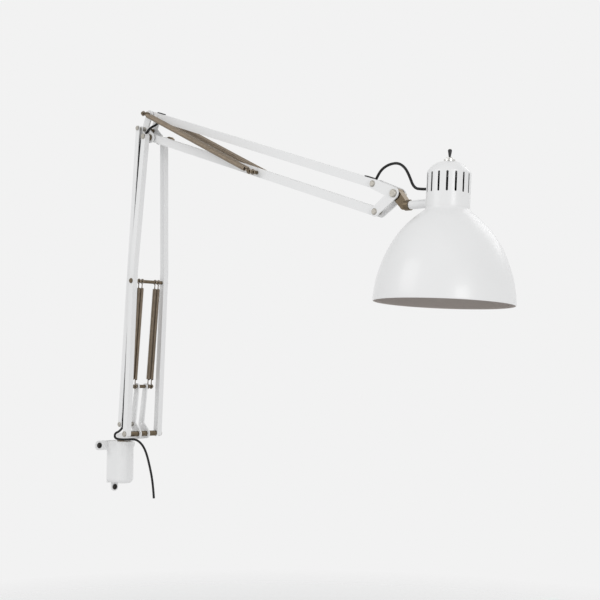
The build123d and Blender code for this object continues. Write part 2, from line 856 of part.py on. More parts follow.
# the knuckle: a barrel on the tilt bolt with a socket for the stub
socket_r = stub_r + 1.6
with BuildPart() as tilt_knuckle:
    with BuildSketch(pin_plane(H3, -fork_half_gap + seat_gap)):
        Circle(knuckle_r)
    extrude(amount=2 * (fork_half_gap - seat_gap))
    with BuildSketch(front(-fork_half_gap + 1.0)):
        with BuildLine():
            eyes(H3, knuckle_r - 0.2, (stub_origin.X, stub_origin.Z), knuckle_r - 0.8)
        make_face()
    extrude(amount=-2 * (fork_half_gap - 1.0))
    with BuildSketch(stub_plane):
        Circle(knuckle_r)
    extrude(amount=stub_start - knuckle_fwd)
    with BuildSketch(pin_plane(H3, -2 * fork_half_gap)):
        Circle(tilt_pin_r + pin_gap)
    extrude(amount=4 * fork_half_gap, mode=Mode.SUBTRACT)
tilt_knuckle.part.label = "tilt_knuckle"
export_step(tilt_knuckle.part, "parts/tilt_knuckle.step")

with BuildPart() as stub_tube:
    with BuildSketch(stub_plane.offset(stub_start - knuckle_fwd + seat_gap)):
        Circle(stub_r)
    extrude(amount=head_reach - cap_r - stub_start - seat_gap + 2.0)
    with BuildSketch(head_xy.offset(-20)):
        Circle(cap_r + 0.1)
    extrude(amount=40, mode=Mode.SUBTRACT)
stub_tube.part.label = "stub_tube"
export_step(stub_tube.part, "parts/stub_tube.step")

cap_dome_top = cap_side_top + cap_dome_h
with BuildPart() as lamp_cap:
    with BuildSketch(head_profile):
        with BuildLine():
            Line((collar_r, cap_dome_top), (cap_r - 14, cap_dome_top - 1.2))
            ThreePointArc(
                (cap_r - 14, cap_dome_top - 1.2),
                (cap_r - 4.2, cap_side_top + 5.8),
                (cap_r, cap_side_top),
            )
            Line((cap_r, cap_side_top), (cap_r, cap_bottom))
            Line((cap_r, cap_bottom), (cap_r - cap_wall, cap_bottom))
            Line((cap_r - cap_wall, cap_bottom), (cap_r - cap_wall, cap_side_top))
            ThreePointArc(
                (cap_r - cap_wall, cap_side_top),
                (cap_r - 5.0, cap_side_top + 5.0),
                (cap_r - 14, cap_dome_top - 2.2),
            )
            Line((cap_r - 14, cap_dome_top - 2.2), (collar_r, cap_dome_top - 1.0))
            Line((collar_r, cap_dome_top - 1.0), (collar_r, cap_dome_top))
        make_face()
    revolve(axis=head_axis)
    slot_h = slot_high - slot_low
    for index in range(slot_count):
        turn = (index + 0.5) * 360 / slot_count
        slot_plane = Plane(
            origin=head_origin,
            x_dir=side_dir * math.cos(math.radians(turn)) + out_dir * math.sin(math.radians(turn)),
            z_dir=out_dir * math.cos(math.radians(turn)) - side_dir * math.sin(math.radians(turn)),
        )
        with BuildSketch(slot_plane.offset(cap_r - 4)):
            with Locations((0, -(slot_low + slot_high) / 2)):
                SlotOverall(slot_h, slot_w, rotation=90)
        extrude(amount=8, mode=Mode.SUBTRACT)
lamp_cap.part.label = "lamp_cap"
export_step(lamp_cap.part, "parts/lamp_cap.step")

with BuildPart() as switch_collar:
    with BuildSketch(head_profile):
        with BuildLine():
            Polyline(
                (lever_pivot_r, cap_dome_top - 4.0),
                (collar_r - 0.2, cap_dome_top - 4.0),
                (collar_r - 0.2, cap_dome_top + 0.1),
                (collar_r + 2.0, cap_dome_top + 0.1),
                (collar_r + 2.0, cap_dome_top + 2.2),
                (collar_r, cap_dome_top + 2.2),
                (collar_r - 0.6, cap_dome_top + collar_h),
                (lever_pivot_r, cap_dome_top + collar_h),
                close=True,
            )
        make_face()
    revolve(axis=head_axis)
switch_collar.part.label = "switch_collar"
export_step(switch_collar.part, "parts/switch_collar.step")

lever_foot = cap_dome_top + collar_h - 4.0
with BuildPart() as switch_lever:
    with BuildSketch(head_profile):
        with BuildLine():
            Polyline(
                (0, lever_foot - 0.8),
                (lever_pivot_r - side_gap, lever_foot - 0.8),
                (lever_pivot_r - side_gap, lever_foot + 0.8),
                (1.2, lever_foot + 0.8),
                (1.2, cap_dome_top + collar_h + 1.0),
                (lever_r, cap_dome_top + collar_h + lever_h - 2.0),
                (lever_r - 0.3, cap_dome_top + collar_h + lever_h - 0.7),
                (lever_r - 1.2, cap_dome_top + collar_h + lever_h),
                (0, cap_dome_top + collar_h + lever_h),
                close=True,
            )
        make_face()
    revolve(axis=head_axis)
switch_lever.part.label = "switch_lever"
export_step(switch_lever.part, "parts/switch_lever.step")

# the spun bell: a short neck outside the cap, a round shoulder and a long flare to the rim
neck_gap = 0.3
neck_r = cap_r + neck_gap
neck_top = cap_bottom + 3.0
shoulder_top = (neck_r + shade_wall, cap_bottom)
shoulder_mid = (mouth_r * 0.535, rim_z * 0.213)
shoulder_end = (mouth_r * 0.724, rim_z * 0.372)
flare_mid = (mouth_r * 0.869, rim_z * 0.571)
flare_end = (mouth_r * 0.963, rim_z * 0.776)
skirt_mid = (mouth_r * 0.993, rim_z * 0.9)
rim_top = (mouth_r, rim_z + 1.6)


def inside(point, lean_angle):
    """The point on the inner skin behind an outer point whose normal leans by this angle."""
    angle = math.radians(lean_angle)
    return (point[0] - shade_wall * math.cos(angle), point[1] - shade_wall * math.sin(angle))


with BuildPart() as shade:
    with BuildSketch(head_profile):
        with BuildLine():
            Line((neck_r, neck_top), (neck_r + shade_wall, neck_top))
            Line((neck_r + shade_wall, neck_top), shoulder_top)
            ThreePointArc(shoulder_top, shoulder_mid, shoulder_end)
            ThreePointArc(shoulder_end, flare_mid, flare_end)
            ThreePointArc(flare_end, skirt_mid, rim_top)
            ThreePointArc(rim_top, (mouth_r - 0.7, rim_z), (mouth_r - rim_bead_r, rim_z + 1.0))
            Line((mouth_r - rim_bead_r, rim_z + 1.0), inside((mouth_r, rim_z + 4.0), 0))
            ThreePointArc(inside((mouth_r, rim_z + 4.0), 0), inside(skirt_mid, 5), inside(flare_end, 14))
            ThreePointArc(inside(flare_end, 14), inside(flare_mid, 25), inside(shoulder_end, 35))
            ThreePointArc(
                inside(shoulder_end, 35),
                inside(shoulder_mid, 46),
                (neck_r, cap_bottom - 1.0),
            )
            Line((neck_r, cap_bottom - 1.0), (neck_r, neck_top))
        make_face()
    revolve(axis=head_axis)
shade.part.label = "shade"
export_step(shade.part, "parts/shade.step")

with BuildPart() as lamp_holder:
    with BuildSketch(head_profile):
        with BuildLine():
            Polyline(
                (0, cap_bottom + 9.0),
                (cap_r - cap_wall - 0.3, cap_bottom + 9.0),
                (cap_r - cap_wall - 0.3, cap_bottom + 7.0),
                (holder_r, cap_bottom + 7.0),
                (holder_r, holder_low),
                (bulb_neck_r + side_gap, holder_low),
                (bulb_neck_r + side_gap, cap_bottom + 5.0),
                (0, cap_bottom + 5.0),
                close=True,
            )
        make_face()
    revolve(axis=head_axis)
lamp_holder.part.label = "lamp_holder"
export_step(lamp_holder.part, "parts/lamp_holder.step")

bulb_top = cap_bottom + 5.0 - side_gap
bulb_centre = bulb_top - bulb_drop
with BuildPart() as bulb:
    with BuildSketch(head_profile):
        with BuildLine():
            globe_turn = math.radians(48)
            globe_x = bulb_r * math.cos(globe_turn)
            globe_z = bulb_centre + bulb_r * math.sin(globe_turn)
            inner_r = bulb_r - bulb_glass
            inner_x = inner_r * math.cos(globe_turn)
            inner_z = bulb_centre + inner_r * math.sin(globe_turn)
            neck_in = bulb_neck_r - bulb_glass
            Line((neck_in, bulb_top), (bulb_neck_r, bulb_top))
            Line((bulb_neck_r, bulb_top), (bulb_neck_r, bulb_top - 27.0))
            Line((bulb_neck_r, bulb_top - 27.0), (globe_x, globe_z))
            ThreePointArc((globe_x, globe_z), (bulb_r, bulb_centre), (0, bulb_centre - bulb_r))
            Line((0, bulb_centre - bulb_r), (0, bulb_centre - inner_r))
            ThreePointArc((0, bulb_centre - inner_r), (inner_r, bulb_centre), (inner_x, inner_z))
            Line((inner_x, inner_z), (neck_in, bulb_top - 27.0))
            Line((neck_in, bulb_top - 27.0), (neck_in, bulb_top))
        make_face()
    revolve(axis=head_axis)
bulb.part.label = "bulb"
export_step(bulb.part, "parts/bulb.step")

# a rubber block on the cap where the cord goes in
grommet_up = 16.5
grommet_tall = 13.0
grommet_wide = 6.0
grommet_out = 5.5
with BuildPart() as cap_grommet:
    with BuildSketch(head_xy.offset(grommet_up - grommet_tall / 2)):
        with Locations((-cap_r - grommet_out / 2 + 1.0, 0)):
            Rectangle(grommet_out + 2.0, grommet_wide)
    extrude(amount=grommet_tall)
    fillet(cap_grommet.edges(), 1.2)
    with BuildSketch(head_xy.offset(grommet_up - grommet_tall)):
        Circle(cap_r + 0.05)
    extrude(amount=2 * grommet_tall, mode=Mode.SUBTRACT)
cap_grommet.part.label = "cap_grommet"
export_step(cap_grommet.part, "parts/cap_grommet.step")

# ================================================================ springs


def biarc(start, start_dir, end, end_dir):
    """Two arcs that leave start along start_dir and reach end along end_dir."""
    v = end - start
    t = start_dir + end_dir
    c = start_dir.dot(end_dir)
    vt = v.dot(t)
    if abs(1 - c) < 1e-9:
        d = v.dot(v) / (4 * v.dot(end_dir))
    else:
        d = (math.sqrt(vt * vt + 2 * (1 - c) * v.dot(v)) - vt) / (2 * (1 - c))
    joint = (start + start_dir * d + end - end_dir * d) / 2
    first = TangentArc(start, joint, tangent=start_dir)
    TangentArc(joint, end, tangent=first % 1)


def spring_knots(start, end, coil_r, curls, hook_r):
    """Places and directions along the wire: a hook, the curls and the other hook."""
    along = (end - start).normalized()
    across = along.cross(Vector(0, 1, 0)).normalized()
    side = Vector(0, 1, 0)
    length = (end - start).length
    body_start = hook_r + 7.0
    pitch = (length - 2 * body_start) / curls
    rise = pitch / (2 * math.pi)
    knots = []

    def put(w, a, b, dw, da, db):
        place = start + along * w + across * a + side * b
        knots.append((place, (along * dw + across * da + side * db).normalized()))

    put(2 * wire_r, -hook_r, 0, -1, 0, 0)
    put(0, -hook_r, 0, -1, 0, 0)
    put(-hook_r, 0, 0, 0, 1, 0)
    put(0, hook_r, 0, 1, 0, 0)
    put(2.0, hook_r, 0, 1, 0, 0)
    for quarter in range(4 * curls + 1):
        angle = quarter * math.pi / 2
        put(
            body_start + pitch * quarter / 4,
            coil_r * math.cos(angle),
            coil_r * math.sin(angle),
            rise,
            -coil_r * math.sin(angle),
            coil_r * math.cos(angle),
        )
    put(length - 2.0, hook_r, 0, 1, 0, 0)
    put(length, hook_r, 0, 1, 0, 0)
    put(length + hook_r, 0, 0, 0, -1, 0)
    put(length, -hook_r, 0, -1, 0, 0)
    put(length - 2 * wire_r, -hook_r, 0, -1, 0, 0)
    return knots


hook_r = pin_r - groove_depth + spring_hook_gap + wire_r
spring_list = []
for number, y_at in enumerate(
    (-lower_spring_y2, -lower_spring_y1, lower_spring_y1, lower_spring_y2), start=1
):
    spring_list.append(
        (
            f"lower_spring_{number}",
            Vector(B[0], y_at, B[1]),
            Vector(ROD[0], y_at, ROD[1]),
            lower_spring_r - wire_r,
            lower_curls,
        )
    )
for number, y_at in enumerate(
    (-upper_spring_y2, -upper_spring_y1, upper_spring_y1, upper_spring_y2), start=1
):
    spring_list.append(
        (
            f"upper_spring_{number}",
            Vector(T[0], y_at, T[1]),
            Vector(S2[0], y_at, S2[1]),
            upper_spring_r - wire_r,
            upper_curls,
        )
    )

for name, start, end, coil_r, curls in spring_list:
    knots = spring_knots(start, end, coil_r, curls, hook_r)
    with BuildPart() as spring:
        with BuildLine() as wire_path:
            for (place, way), (next_place, next_way) in zip(knots, knots[1:]):
                if abs(way.dot(next_way) - 1) < 1e-9:
                    Line(place, next_place)
                else:
                    biarc(place, way, next_place, next_way)
        with BuildSketch(Plane(origin=knots[0][0], x_dir=(0, 1, 0), z_dir=knots[0][1])):
            RegularPolygon(wire_r, 6)
        sweep(path=wire_path.wire(), clean=False)
    print(name, "volume", round(spring.part.volume, 1), "valid", spring.part.is_valid)
    spring.part.label = name
    export_step(spring.part, "parts/" + name + ".step")

# the least gap between two turns of a spring, from points along its middle line
for label, coil_r, curls, far in (
    ("lower", lower_spring_r - wire_r, lower_curls, (Vector(*B) - Vector(*ROD)).length),
    ("upper", upper_spring_r - wire_r, upper_curls, (Vector(*T) - Vector(*S2)).length),
):
    pitch = (far - 2 * (hook_r + 7.0)) / curls
    points = [
        (coil_r * math.cos(i * 0.1), coil_r * math.sin(i * 0.1), pitch * i * 0.1 / (2 * math.pi))
        for i in range(200)
    ]
    least = min(
        math.dist(points[i], points[j]) for i in range(0, 60) for j in range(i + 40, 200)
    )
    print("spring", label, "least gap to itself", round(least - 2 * wire_r, 2))

# ================================================================ cord
def on_link(w, u, y_more=0.0):
    """A point in the link's channel: w along it from the lower pin, u toward its open side."""
    y = -link_base_y + (link_base_y - link_knee_y) * w / lower_length
    return (
        P1[0] + arm_dir[0] * w + arm_out[0] * u,
        y + y_more,
        P1[1] + arm_dir[1] * w + arm_out[1] * u,
    )


def on_top_bar(w, v, y=0.0):
    """A point on the upper bar: w along it from the knee, v up across it."""
    return (T[0] + fore_dir[0] * w + fore_up[0] * v, y, T[1] + fore_dir[1] * w + fore_up[1] * v)


cord_in = 2.0
strip_top = upper_width / 2 + strip_t
head_start = on_top_bar(upper_length - 2.0, strip_top)
head_end = head_origin + out_dir * (-cap_r - grommet_out - 0.1) + up_dir * (grommet_up + 0.5)
head_points = [
    head_start,
    (head_start[0] + 4.2, 0, head_start[2] + 6.6),
    (head_start[0] + 12.5, 0, head_start[2] + 12.5),
    (head_start[0] + 23.5, 0, head_start[2] + 15.2),
    (head_start[0] + 34.5, 0, head_start[2] + 14.6),
    (head_start[0] + 44.0, 0, head_start[2] + 8.5),
    (head_start[0] + 50.5, 0, head_start[2] - 1.5),
    (head_start[0] + 57.5, 0.3, head_end.Z + 3.0),
    (head_end.X - 7.0, 0.4, head_end.Z + 0.4),
    (head_end.X, head_end.Y, head_end.Z),
]
split_at = 4
near = Vector(*head_points[split_at])
after = Vector(*head_points[split_at + 1])
middle = (near + after) / 2
knee_points = [
    on_top_bar(strip_in_start + 10.0, -3.4),
    (90.8, -1.6, 486.3),
    (87.6, -9.3, 481.8),
    (80.7, -11.0, 475.2),
    (79.25, -18.2, 464.6),
    on_link(404.5, 3.2),
    on_link(397.0, cord_in),
    on_link(391.0, cord_in),
]
link_points = [on_link(391.0, cord_in), on_link(20.0, cord_in)]
base_points = [
    on_link(20.0, cord_in),
    on_link(14.0, cord_in),
    on_link(6.0, 3.7),
    on_link(-3.0, 4.6),
    (49.5, -29.2, 41.0),
    (40.2, -29.6, 38.4),
    (38.2, -28.8, 31.6),
    (45.0, -26.0, 29.4),
    (57.0, -19.5, 29.6),
    (68.0, -14.5, 30.6),
    (71.5, -11.5, 27.55),
]
tail_points = [
    (71.5, -11.5, 27.55),
    (75.0, -8.5, 24.5),
    (80.0, -4.0, 13.0),
    (84.0, 0.0, -8.0),
    (87.0, 3.8, -32.0),
    (87.4, 5.6, -54.0),
]
run_v = upper_width / 2 - upper_wall - cord_r - side_gap
upper_run = [on_top_bar(strip_in_start + 14.0, run_v), on_top_bar(upper_length - 20.0, run_v)]
cords = [
    ("cord_head_loop_a", head_points[: split_at + 1] + [tuple(middle)]),
    ("cord_head_loop_b", [tuple(middle)] + head_points[split_at + 1 :]),
    ("cord_upper_run", upper_run),
    ("cord_knee_loop", knee_points),
    ("cord_link_run", link_points),
    ("cord_base_loop", base_points),
    ("cord_tail", tail_points),
]
for name, places in cords:
    route = [Vector(*place) for place in places]
    radii = []
    for before, here, beyond in zip(route, route[1:], route[2:]):
        turn = math.radians((here - before).get_angle(beyond - here))
        shorter = min((here - before).length, (beyond - here).length)
        radii.append(0.45 * shorter / math.tan(turn / 2))
    with BuildPart() as cord:
        with BuildLine() as cord_line:
            if radii:
                FilletPolyline(*route, radius=radii)
            else:
                Line(route[0], route[1])
        with BuildSketch(Plane(origin=route[0], z_dir=route[1] - route[0])):
            Circle(cord_r)
        sweep(path=cord_line.wire())
    wanted = math.pi * cord_r**2 * cord_line.wire().length
    print(name, [round(r, 1) for r in radii], "volume", round(cord.part.volume / wanted, 4))
    cord.part.label = name
    export_step(cord.part, "parts/" + name + ".step")

print("P2", P2, "K2", K2, "T", T, "HL", HL, "H3", H3, "head", head_origin, "lever", lever_foot)
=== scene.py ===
"""Dresses the CAD frame of a wall lamp with a sprung double arm, and sets its stage."""

import math

import bmesh
import bpy
from mathutils import Matrix, Vector


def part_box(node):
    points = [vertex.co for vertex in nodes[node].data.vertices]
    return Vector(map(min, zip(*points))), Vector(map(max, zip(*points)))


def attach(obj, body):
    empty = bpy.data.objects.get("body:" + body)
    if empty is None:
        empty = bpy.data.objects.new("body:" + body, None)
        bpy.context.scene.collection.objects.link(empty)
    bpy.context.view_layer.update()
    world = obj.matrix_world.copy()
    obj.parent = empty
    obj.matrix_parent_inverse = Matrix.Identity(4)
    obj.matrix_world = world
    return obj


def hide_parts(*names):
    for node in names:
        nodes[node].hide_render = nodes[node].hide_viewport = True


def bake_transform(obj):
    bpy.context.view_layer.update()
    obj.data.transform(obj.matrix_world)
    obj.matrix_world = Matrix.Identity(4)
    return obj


bl_info = {
    "name": "Sprung wall lamp",
    "version": (1, 0, 0),
    "blender": (4, 5, 0),
    "location": "3D View > Sidebar > Lamp",
    "description": "Dresses the CAD frame of a wall lamp with a balanced arm",
    "category": "Add Mesh",
}

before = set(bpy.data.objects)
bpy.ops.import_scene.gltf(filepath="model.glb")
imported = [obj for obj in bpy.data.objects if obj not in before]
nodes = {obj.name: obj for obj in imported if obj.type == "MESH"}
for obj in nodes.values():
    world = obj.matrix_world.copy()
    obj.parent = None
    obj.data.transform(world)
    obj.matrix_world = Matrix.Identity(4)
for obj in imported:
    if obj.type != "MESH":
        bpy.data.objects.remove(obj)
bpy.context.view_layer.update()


def mm(*numbers):
    """A point or a vector written in millimetres, in metres."""
    return Vector(numbers) / 1000.0


def linear(code):
    """An sRGB hex colour as linear red, green and blue."""
    parts = [int(code[i : i + 2], 16) / 255.0 for i in (1, 3, 5)]
    return tuple(c / 12.92 if c <= 0.04045 else ((c + 0.055) / 1.055) ** 2.4 for c in parts)


# ---------------------------------------------------------------- sizes and colours


class LampSizes(bpy.types.PropertyGroup):
    """Sizes of the pieces that are modelled over the frame."""

    spring_wire: bpy.props.FloatProperty(
        name="Spring wire",
        description="Thickness of the springs' wire",
        default=0.0016,
        unit="LENGTH",
    )
    lower_coil: bpy.props.FloatProperty(
        name="Lower coil",
        description="Outside diameter of the lower springs",
        default=0.006,
        unit="LENGTH",
    )
    upper_coil: bpy.props.FloatProperty(
        name="Upper coil",
        description="Outside diameter of the upper springs",
        default=0.0064,
        unit="LENGTH",
    )
    hook: bpy.props.FloatProperty(
        name="Hook",
        description="Radius of the hooks' eyes about their pins",
        default=0.0031,
        unit="LENGTH",
    )
    shank: bpy.props.FloatProperty(
        name="Hook shank",
        description="Straight wire between a hook and the coil",
        default=0.007,
        unit="LENGTH",
    )
    cord: bpy.props.FloatProperty(
        name="Cord",
        description="Diameter of the mains cord",
        default=0.0033,
        unit="LENGTH",
    )
    shade_wall: bpy.props.FloatProperty(
        name="Shade wall",
        description="Thickness of the spun shade",
        default=0.001,
        unit="LENGTH",
    )
    screw_head: bpy.props.FloatProperty(
        name="Screw head",
        description="Radius of the wall screws' heads",
        default=0.0042,
        unit="LENGTH",
    )
    knob: bpy.props.FloatProperty(
        name="Knob",
        description="Radius of the knee's clamping knob",
        default=0.0062,
        unit="LENGTH",
    )


class LampColours(bpy.types.PropertyGroup):
    """Colours of the finishes, as linear values."""

    enamel: bpy.props.FloatVectorProperty(
        name="Enamel",
        description="Outside of the lamp",
        subtype="COLOR",
        default=linear("#EDEDED"),
    )
    # painted shade: the lining's warm grey stands for shade on the white enamel inside the bell
    lining: bpy.props.FloatVectorProperty(
        name="Shade lining",
        description="Inside of the shade",
        subtype="COLOR",
        default=linear("#B9B1AC"),
    )
    spring: bpy.props.FloatVectorProperty(
        name="Spring wire",
        description="Oiled spring wire",
        subtype="COLOR",
        default=linear("#9A8C7B"),
    )
    pin: bpy.props.FloatVectorProperty(
        name="Rivets",
        description="Plated rivets and pins",
        subtype="COLOR",
        default=linear("#B7B3AB"),
    )
    spacer: bpy.props.FloatVectorProperty(
        name="Spacers",
        description="Oiled spacers, rods and knuckle",
        subtype="COLOR",
        default=linear("#716554"),
    )
    black: bpy.props.FloatVectorProperty(
        name="Cord black",
        description="Cord and rubber",
        subtype="COLOR",
        default=linear("#0D0D0D"),
    )
    backdrop: bpy.props.FloatVectorProperty(
        name="Backdrop",
        description="Pale backdrop and floor",
        subtype="COLOR",
        default=linear("#F2F2F2"),
    )


def sizes():
    """The sizes set in the panel."""
    return bpy.context.scene.lamp_sizes


def colours():
    """The colours set in the panel."""
    return bpy.context.scene.lamp_colours


# ---------------------------------------------------------------- the lamp's own places

# the pins that the springs hook on, from the wall outwards, and the knee's pivot
post_foot = mm(62, 0, 106)
spring_rod = mm(76.36, 0, 257.76)
knee_top = mm(83.256, 0, 501.523)
upper_rest = mm(309.40, 0, 390.69)
knee_pivot = mm(86.256, 0, 467.523)

# the head's own frame: out along the stub, up the shade's axis
head_centre = mm(621.448, -0.0555, 321.875)
head_out = Vector((0.999701, -0.000895, -0.024416))
head_up = Vector((0.024432, 0.036633, 0.99903))
head_side = head_up.cross(head_out)

# painted shade: the cap's wall is black within this radius of the head's axis, under this height
cap_inside = 0.0249
cap_ceiling = 0.0325


def head_matrix():
    """The head's own frame, with its origin at the head's centre."""
    matrix = Matrix((head_out, head_side, head_up)).transposed().to_4x4()
    matrix.translation = head_centre
    return matrix


# ---------------------------------------------------------------- materials


def put(tree, kind, feeds=(), **settings):
    """Adds a node with its settings. A feed is a link or a plain value, and the socket it fills."""
    node = tree.nodes.new(kind)
    for key, value in settings.items():
        name = key.replace("_", " ")
        if name in node.inputs:
            node.inputs[name].default_value = value
        else:
            setattr(node, key, value)
    for source, target in feeds:
        if isinstance(source, bpy.types.NodeSocket):
            tree.links.new(source, node.inputs[target])
        else:
            node.inputs[target].default_value = source
    return node


def opened(material):
    """A finish's node tree, its shader and its Object coordinates."""
    tree = material.node_tree
    place = tree.nodes["Texture Coordinate"].outputs["Object"]
    return tree, tree.nodes["Principled BSDF"], place


def layered(name, layers, **even):
    """A finish made of noises on Object coordinates, each driving one socket of its shader.

    A layer holds the socket, the noise's size in mm, its detail and two values. The size is three
    numbers where the noise is drawn out along x, y and z. The values are the lowest and the highest
    colour or roughness, or the strength and the depth in metres of a relief. What is the same all
    over is given by the socket's name.
    """
    material = bpy.data.materials.new(name)
    material.use_nodes = True
    put(material.node_tree, "ShaderNodeTexCoord")
    tree, shader, place = opened(material)
    for key, value in even.items():
        shader.inputs[key.replace("_", " ")].default_value = value
    for socket, size, detail, low, high in layers:
        if isinstance(size, tuple):
            stretch = [1000 / length for length in size]
            source = put(tree, "ShaderNodeMapping", [(place, "Vector")], Scale=stretch).outputs[0]
            scale = 1.0
        else:
            source, scale = place, 1000 / size
        noise = put(tree, "ShaderNodeTexNoise", [(source, "Vector")], Scale=scale, Detail=detail)
        drive = noise.outputs["Fac"]
        if socket == "Base Color":
            made = put(tree, "ShaderNodeValToRGB", [(drive, "Fac")])
            for element, tone in zip(made.color_ramp.elements, (low, high)):
                element.color = (*tone, 1.0)
        elif socket == "Roughness":
            made = put(tree, "ShaderNodeMapRange", [(drive, "Value")], To_Min=low, To_Max=high)
        else:
            made = put(tree, "ShaderNodeBump", [(drive, "Height")], Strength=low, Distance=high)
        tree.links.new(made.outputs[0], shader.inputs[socket])
    return material


def shaded(colour, amount):
    """A colour made darker or lighter."""
    return tuple(c * amount for c in colour)


def sprayed_enamel(name, colour, roughness):
    """Stoved enamel, sprayed on pressed steel: an even semi-gloss with orange peel 1.4 mm wide."""
    layers = (
        ("Base Color", 55, 2.0, shaded(colour, 0.965), shaded(colour, 1.02)),
        ("Roughness", 18, 3.0, roughness - 0.05, roughness + 0.06),
        ("Normal", 1.4, 1.0, 0.12, 0.00004),
    )
    return layered(name, layers, Coat_Weight=0.15, Coat_Roughness=0.12)


def drawn_wire(name, colour):
    """Oil-tempered spring wire, hard drawn: brown-grey metal, darker films of oil 6 mm long."""
    layers = (
        ("Base Color", 6, 3.0, shaded(colour, 0.62), shaded(colour, 1.12)),
        ("Roughness", 6, 3.0, 0.3, 0.46),
        # die lines on the wire, drawn as coarse as 0.35 mm so that they show
        ("Normal", 0.35, 1.0, 0.2, 0.00003),
    )
    return layered(name, layers, Metallic=0.85)


def turned_steel(name, colour, roughness):
    """Turned and nickel-plated steel: a warm, slightly clouded metal with tool marks round it."""
    layers = (
        ("Base Color", 4, 4.0, shaded(colour, 0.78), shaded(colour, 1.1)),
        ("Roughness", 4, 4.0, roughness - 0.06, roughness + 0.08),
        # tool marks 3.3 mm long, drawn as coarse as 0.4 mm apart so that they show
        ("Normal", (10 / 3, 0.4, 10 / 3), 2.0, 0.25, 0.00002),
    )
    return layered(name, layers, Metallic=1.0)


def moulded(name, colour, roughness, grain, depth, **even):
    """Moulded rubber, PVC or phenolic: an even colour, a soft sheen and the tool's fine grain, with
    its width and depth in mm."""
    layers = (
        ("Base Color", 9, 3.0, shaded(colour, 0.75), shaded(colour, 1.35)),
        ("Roughness", 9, 3.0, roughness - 0.06, roughness + 0.08),
        ("Normal", grain, 1.0, 0.3, depth / 1000),
    )
    return layered(name, layers, **even)


def opal_glass(name):
    """Opal bulb glass: milky and smooth, with a thin clear skin."""
    layers = (("Base Color", 30, 1.0, linear("#E6E3DC"), linear("#F1EEE8")),)
    return layered(name, layers, Roughness=0.18, Coat_Weight=0.4, Coat_Roughness=0.05)


def paint_shade_inside(material):
    """Paints shade black on the cap's inner wall: near the head's axis and under the cap's dome."""
    tree, shader, place = opened(material)
    vector, number = "ShaderNodeVectorMath", "ShaderNodeMath"
    apart = put(tree, vector, [(place, 0), (head_centre, 1)], operation="SUBTRACT").outputs[0]
    height = put(tree, vector, [(apart, 0), (head_up, 1)], operation="DOT_PRODUCT").outputs["Value"]
    across = put(tree, vector, [(apart, 0), (head_up, 1)], operation="CROSS_PRODUCT").outputs[0]
    radius = put(tree, vector, [(across, 0)], operation="LENGTH").outputs["Value"]
    near = put(tree, number, [(radius, 0), (cap_inside, 1)], operation="LESS_THAN").outputs[0]
    under = put(tree, number, [(height, 0), (cap_ceiling, 1)], operation="LESS_THAN").outputs[0]
    inside = put(tree, number, [(near, 0), (under, 1)], operation="MULTIPLY").outputs[0]
    # a colour mix has its two colours in sockets 6 and 7, and its result in output 2
    enamel = shader.inputs["Base Color"].links[0].from_socket
    # painted shade: near black, for the shade inside the slotted cap
    painted_shade_black = (*linear("#171615"), 1.0)
    both = put(
        tree,
        "ShaderNodeMix",
        [(inside, "Factor"), (enamel, 6), (painted_shade_black, 7)],
        data_type="RGBA",
    )
    tree.links.new(both.outputs[2], shader.inputs["Base Color"])
    return material


finishes = {}


def make_finishes():
    """Makes every finish that the lamp's parts and pieces take, from the colours in the panel."""
    tone = colours()
    finishes.update(
        white_paint=sprayed_enamel("sprayed_white_enamel", tone.enamel, 0.36),
        # the cap's enamel, with painted shade near black on its inner wall
        cap_paint=paint_shade_inside(sprayed_enamel("cap_enamel_painted_shade_inside", tone.enamel, 0.36)),
        # painted shade: the lining is white enamel, darkened to a warm grey
        lining=sprayed_enamel("satin_lining_painted_shade", tone.lining, 0.55),
        spring_steel=drawn_wire("oil_tempered_wire", tone.spring),
        pin_steel=turned_steel("turned_nickel_steel", tone.pin, 0.34),
        spacer_steel=turned_steel("oiled_spacer_steel", tone.spacer, 0.27),
        screw_steel=turned_steel("blackened_screw_steel", linear("#3A3836"), 0.42),
        chrome=turned_steel("polished_collar", linear("#D9D8D5"), 0.14),
        black_rubber=moulded("moulded_black_rubber", tone.black, 0.6, 0.5, 0.03),
        black_cord=moulded(
            "pvc_cord_sheath", tone.black, 0.5, 0.8, 0.02, Specular_IOR_Level=0.3
        ),
        black_plastic=moulded("moulded_black_lever", linear("#1D1D1D"), 0.36, 0.4, 0.02),
        holder_plastic=moulded("phenolic_lamp_holder", linear("#2A2725"), 0.4, 0.6, 0.02),
        bulb_glass=opal_glass("opal_bulb_glass"),
    )


# the frame's own parts and their finishes; those that aren't named here have white enamel
part_finishes = {
    "pin_steel": (
        "base_pin link_pin knee_pin knee_link_pin fork_rivets tilt_bolt tilt_nut swivel_nut"
    ),
    "spacer_steel": (
        "swivel_washer swivel_stem base_spacers spring_post_pin spring_rod knee_spacers knee_stay "
        "knee_top_pin upper_spring_pin tilt_knuckle"
    ),
    "cap_paint": "lamp_cap",
    "black_rubber": "cord_strip_knee cord_strip_head cap_grommet",
    "chrome": "switch_collar",
    "black_plastic": "switch_lever",
    "holder_plastic": "lamp_holder",
    "bulb_glass": "bulb",
}


# ---------------------------------------------------------------- modelling helpers

merge_gap = 0.00001


def piece_from(name, bm, body, finish_names, crease=30):
    """A piece from a bmesh, smooth but for its creases, riding on its body if it's given one."""
    mesh = bpy.data.meshes.new(name)
    bm.to_mesh(mesh)
    bm.free()
    mesh.shade_smooth()
    mesh.set_sharp_from_angle(angle=math.radians(crease))
    for key in finish_names:
        mesh.materials.append(finishes[key])
    piece = bpy.data.objects.new(name, mesh)
    bpy.context.scene.collection.objects.link(piece)
    if body:
        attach(piece, body)
    return piece


def close_up(bm):
    """Merges doubled corners and turns the faces outwards."""
    bmesh.ops.remove_doubles(bm, verts=bm.verts, dist=merge_gap)
    bmesh.ops.recalc_face_normals(bm, faces=bm.faces)


